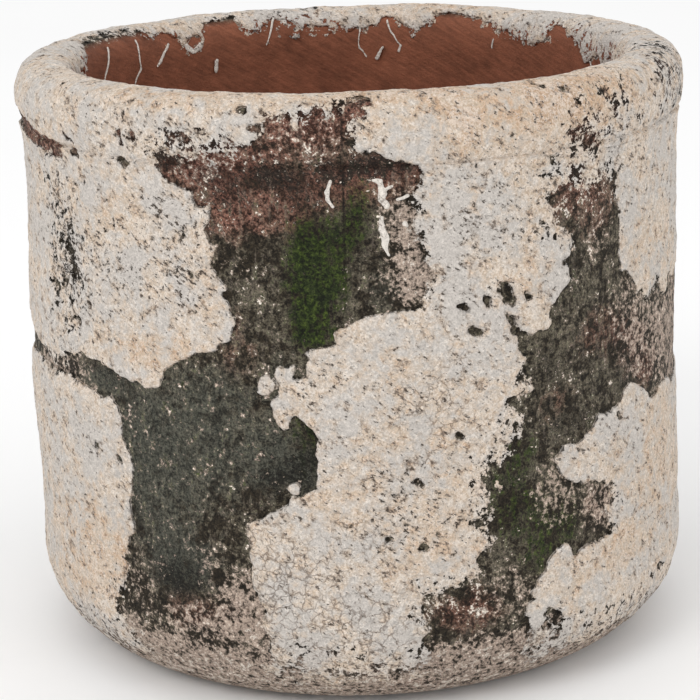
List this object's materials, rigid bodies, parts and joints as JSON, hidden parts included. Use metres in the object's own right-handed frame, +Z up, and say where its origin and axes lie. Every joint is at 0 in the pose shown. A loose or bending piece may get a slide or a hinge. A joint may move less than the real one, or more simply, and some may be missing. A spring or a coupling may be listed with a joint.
{
  "type": "terracotta pot",
  "caption": "Hand-pressed round terracotta garden pot with a rolled rim, rounded foot, drain hole and a flaking lime coat.",
  "frame": {"origin": "on the ground, at the middle of the foot, on the pot's axis", "axes": "+Z up along the pot's axis; -Y towards the front, where the wall halves' seam shows; +X to the right"},
  "size_m": [0.211, 0.211, 0.1873],
  "materials": {
    "weathered_clay": "matt unglazed terracotta, grey-brown with moss and dark patina",
    "rim_clay": "matt unglazed terracotta, red-brown",
    "bare_clay": "matt unglazed terracotta, clean red-brown",
    "lime_coat": "chalky lime wash, cream with ochre stains, pits and fine crackle"
  },
  "bodies": {
    "root": {"wall_right_half": "weathered_clay", "wall_left_half": "weathered_clay", "rim_roll": "rim_clay", "floor_disc": "bare_clay", "coat_left_upper": "lime_coat", "coat_left_lower": "lime_coat", "coat_centre": "lime_coat", "coat_right_upper": "lime_coat", "coat_far_right": "lime_coat", "coat_right_lower": "lime_coat", "coat_back_right_upper": "lime_coat", "coat_back_right_lower": "lime_coat", "coat_back_centre": "lime_coat", "coat_back_left_upper": "lime_coat", "coat_back_left_lower": "lime_coat", "flake_left": "lime_coat", "flake_centre": "lime_coat", "drip_left": "lime_coat", "drip_right": "lime_coat", "drip_middle": "lime_coat", "rim_coat_left": "lime_coat", "rim_coat_right": "lime_coat", "rim_coat_back_right": "lime_coat", "rim_coat_back_left": "lime_coat"}
  },
  "joints": []
}
